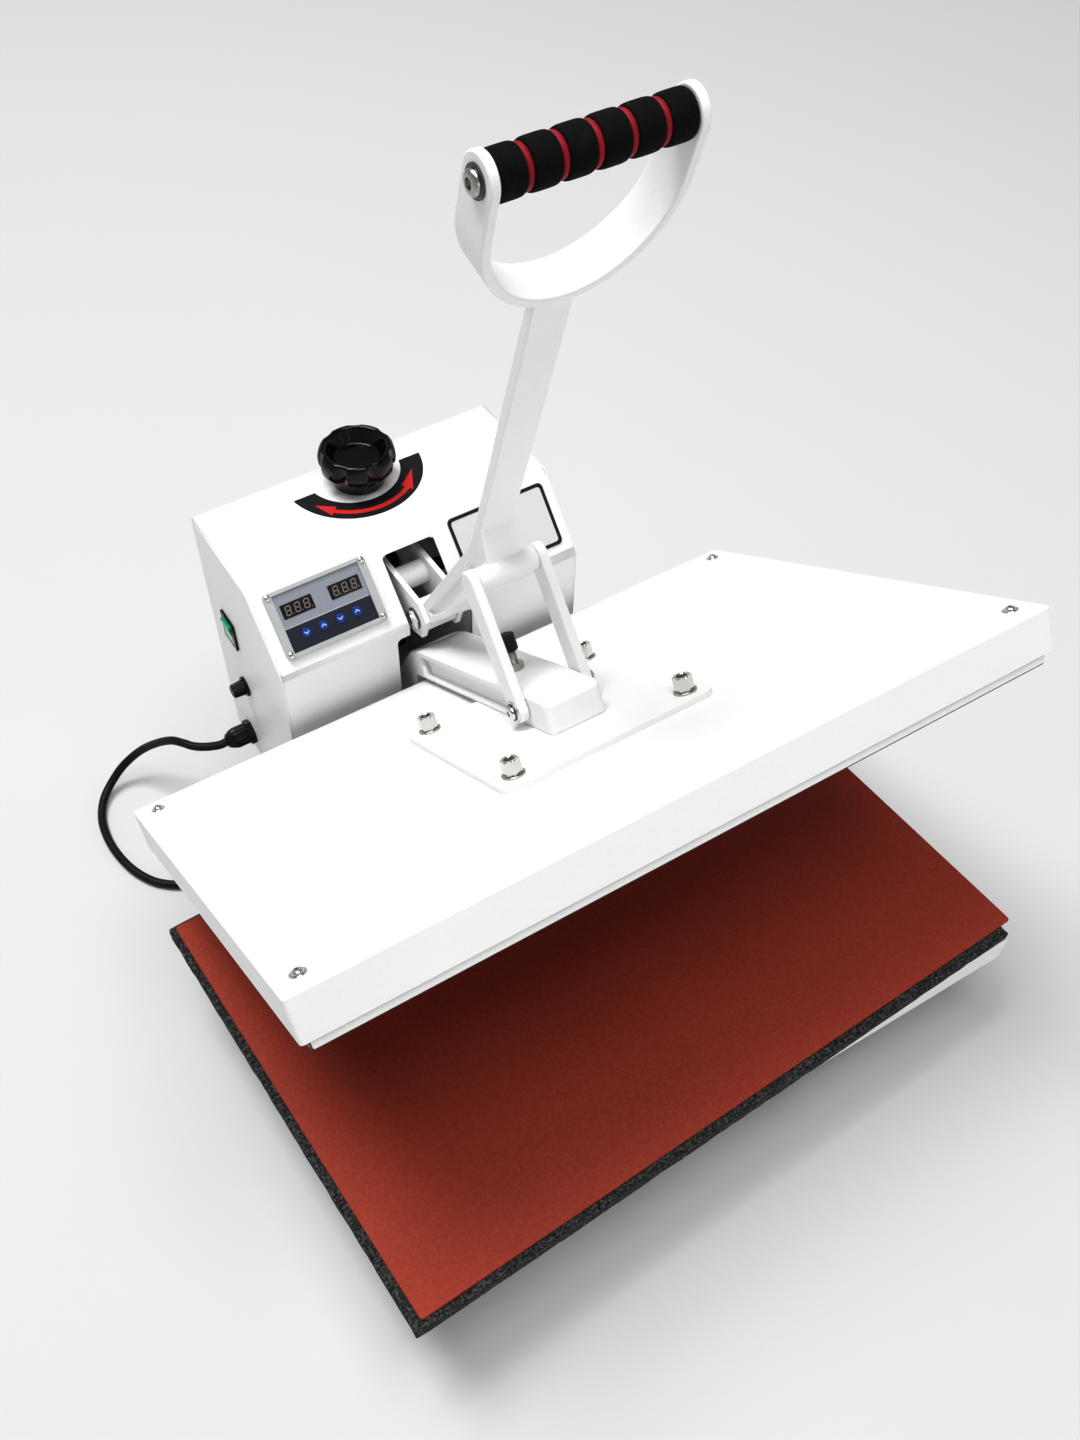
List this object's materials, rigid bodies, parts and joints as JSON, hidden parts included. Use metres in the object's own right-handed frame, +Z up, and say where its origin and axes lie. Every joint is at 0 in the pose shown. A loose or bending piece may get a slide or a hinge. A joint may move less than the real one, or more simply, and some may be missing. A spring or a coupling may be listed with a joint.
{
  "type": "clamshell heat press",
  "caption": "Clamshell heat press with a toggle lever and D handle, a hinged heat platen over a padded lower platen, and a sloped control box with pressure knob, panel and cord.",
  "frame": {"origin": "on the bench, half way between the front of the pads and the back of the control box, in the machine's mid-plane", "axes": "+X to the operator's right, +Y towards the control box, +Z up"},
  "size_m": [0.6318, 0.6858, 0.7856],
  "materials": {
    "white_paint": "powder coat, satin",
    "black_rubber": "matte",
    "sponge_foam": "open-cell, rough",
    "red_silicone": "matte",
    "grip_foam": "fine foam, matte",
    "red_rubber": "matte",
    "bright_steel": "zinc plated",
    "dark_steel": "black oxide",
    "silver_plastic": "satin silver",
    "fascia_film": "printed film, satin",
    "smoked_window": "smoked, glossy",
    "blue_plastic": "satin",
    "circuit_board": "satin",
    "grey_plate": "satin",
    "black_film": "satin",
    "black_plastic": "glossy",
    "green_lens": "clear green",
    "cord_rubber": "satin",
    "tie_plastic": "woven",
    "pin_brass": "bright",
    "insulation_wool": "matted wool",
    "heater_steel": "heat dulled",
    "platen_aluminium": "milled, coated"
  },
  "bodies": {
    "stand": {"base_frame": "white_paint", "rubber_feet": "black_rubber", "deck_plate": "white_paint", "hinge_cheeks": "white_paint", "lower_platen": "white_paint", "foam_pad": "sponge_foam", "silicone_pad": "red_silicone", "hinge_axle": "bright_steel", "torsion_springs": "dark_steel", "box_shell": "white_paint", "box_end_left": "white_paint", "box_end_right": "white_paint", "box_back": "white_paint", "box_screws": "bright_steel", "panel_bezel": "silver_plastic", "panel_fascia": "fascia_film", "display_windows": "smoked_window", "panel_screws": "bright_steel", "controller_board": "circuit_board", "plain_plate": "grey_plate", "pressure_scale": "black_film", "switch_housing": "black_plastic", "fuse_holder": "black_plastic", "cable_gland": "black_plastic", "gland_nut": "black_plastic", "power_cord": "cord_rubber", "cord_coil": "cord_rubber", "cord_tie": "tie_plastic", "power_plug": "cord_rubber", "plug_pins": "pin_brass", "thrust_bracket": "white_paint", "yoke_pivot_pin": "bright_steel"},
    "platen_arm": {"press_arm": "white_paint", "mount_plate": "white_paint", "mount_nuts": "bright_steel", "top_cover": "white_paint", "cover_screws": "bright_steel", "insulation_blanket": "insulation_wool", "heating_rods": "heater_steel", "heat_platen": "platen_aluminium", "bumper_bolt": "bright_steel", "bumper_cap": "black_rubber", "link_bolts": "dark_steel"},
    "links": {"toggle_links": "white_paint"},
    "lever": {"lever_bar": "white_paint", "handle_strap": "white_paint", "grip_rod": "bright_steel", "foam_grip": "grip_foam", "grip_rings": "red_rubber", "grip_bolts": "bright_steel"},
    "yoke": {"pressure_yoke": "white_paint", "trunnion_nut": "pin_brass", "lever_pivot_bolt": "dark_steel"},
    "pressure_set": {"pressure_knob": "black_plastic", "pressure_screw": "bright_steel"},
    "rocker": {"power_rocker": "green_lens"},
    "temp_down": {"temp_down_button": "blue_plastic"},
    "temp_up": {"temp_up_button": "blue_plastic"},
    "time_down": {"time_down_button": "blue_plastic"},
    "time_up": {"time_up_button": "blue_plastic"}
  },
  "joints": [
    {"name": "arm_hinge", "type": "hinge", "parent": "stand", "child": "platen_arm", "pos_m": [0, 0.20448, 0.113], "axis": [1, 0, 0], "range_deg": [0, 32]},
    {"name": "link_pivot", "type": "hinge", "parent": "platen_arm", "child": "links", "pos_m": [0, -0.02509, 0.34194], "axis": [1, 0, 0], "range_deg": [-65.8, 0]},
    {"name": "lever_pivot", "type": "hinge", "parent": "yoke", "child": "lever", "pos_m": [0, 0.15948, 0.276], "axis": [1, 0, 0], "range_deg": [0, 70.9]},
    {"name": "yoke_tilt", "type": "hinge", "parent": "stand", "child": "yoke", "pos_m": [0, 0.20448, 0.28], "axis": [1, 0, 0], "range_deg": [-1.2, 1.2]},
    {"name": "knob_turn", "type": "hinge", "parent": "stand", "child": "pressure_set", "pos_m": [0, 0.29048, 0.34], "axis": [0, 0, 1], "range_deg": [-360, 360]},
    {"name": "rocker_tip", "type": "hinge", "parent": "stand", "child": "rocker", "pos_m": [-0.149, 0.27548, 0.231], "axis": [0, 1, 0], "range_deg": [0, 16]},
    {"name": "temp_down_press", "type": "slide", "parent": "stand", "child": "temp_down", "axis": [0, 0.7134, -0.7007], "range_m": [0, 0.0008], "stiffness_N_per_m": 600},
    {"name": "temp_up_press", "type": "slide", "parent": "stand", "child": "temp_up", "axis": [0, 0.7134, -0.7007], "range_m": [0, 0.0008], "stiffness_N_per_m": 600},
    {"name": "time_down_press", "type": "slide", "parent": "stand", "child": "time_down", "axis": [0, 0.7134, -0.7007], "range_m": [0, 0.0008], "stiffness_N_per_m": 600},
    {"name": "time_up_press", "type": "slide", "parent": "stand", "child": "time_up", "axis": [0, 0.7134, -0.7007], "range_m": [0, 0.0008], "stiffness_N_per_m": 600}
  ],
  "couplings": [
    {"joint": "link_pivot", "follows": "arm_hinge", "ratio": -2.0531},
    {"joint": "lever_pivot", "follows": "arm_hinge", "ratio": 2.2121},
    {"joint": "yoke_tilt", "follows": "knob_turn", "ratio": -0.0032386}
  ]
}
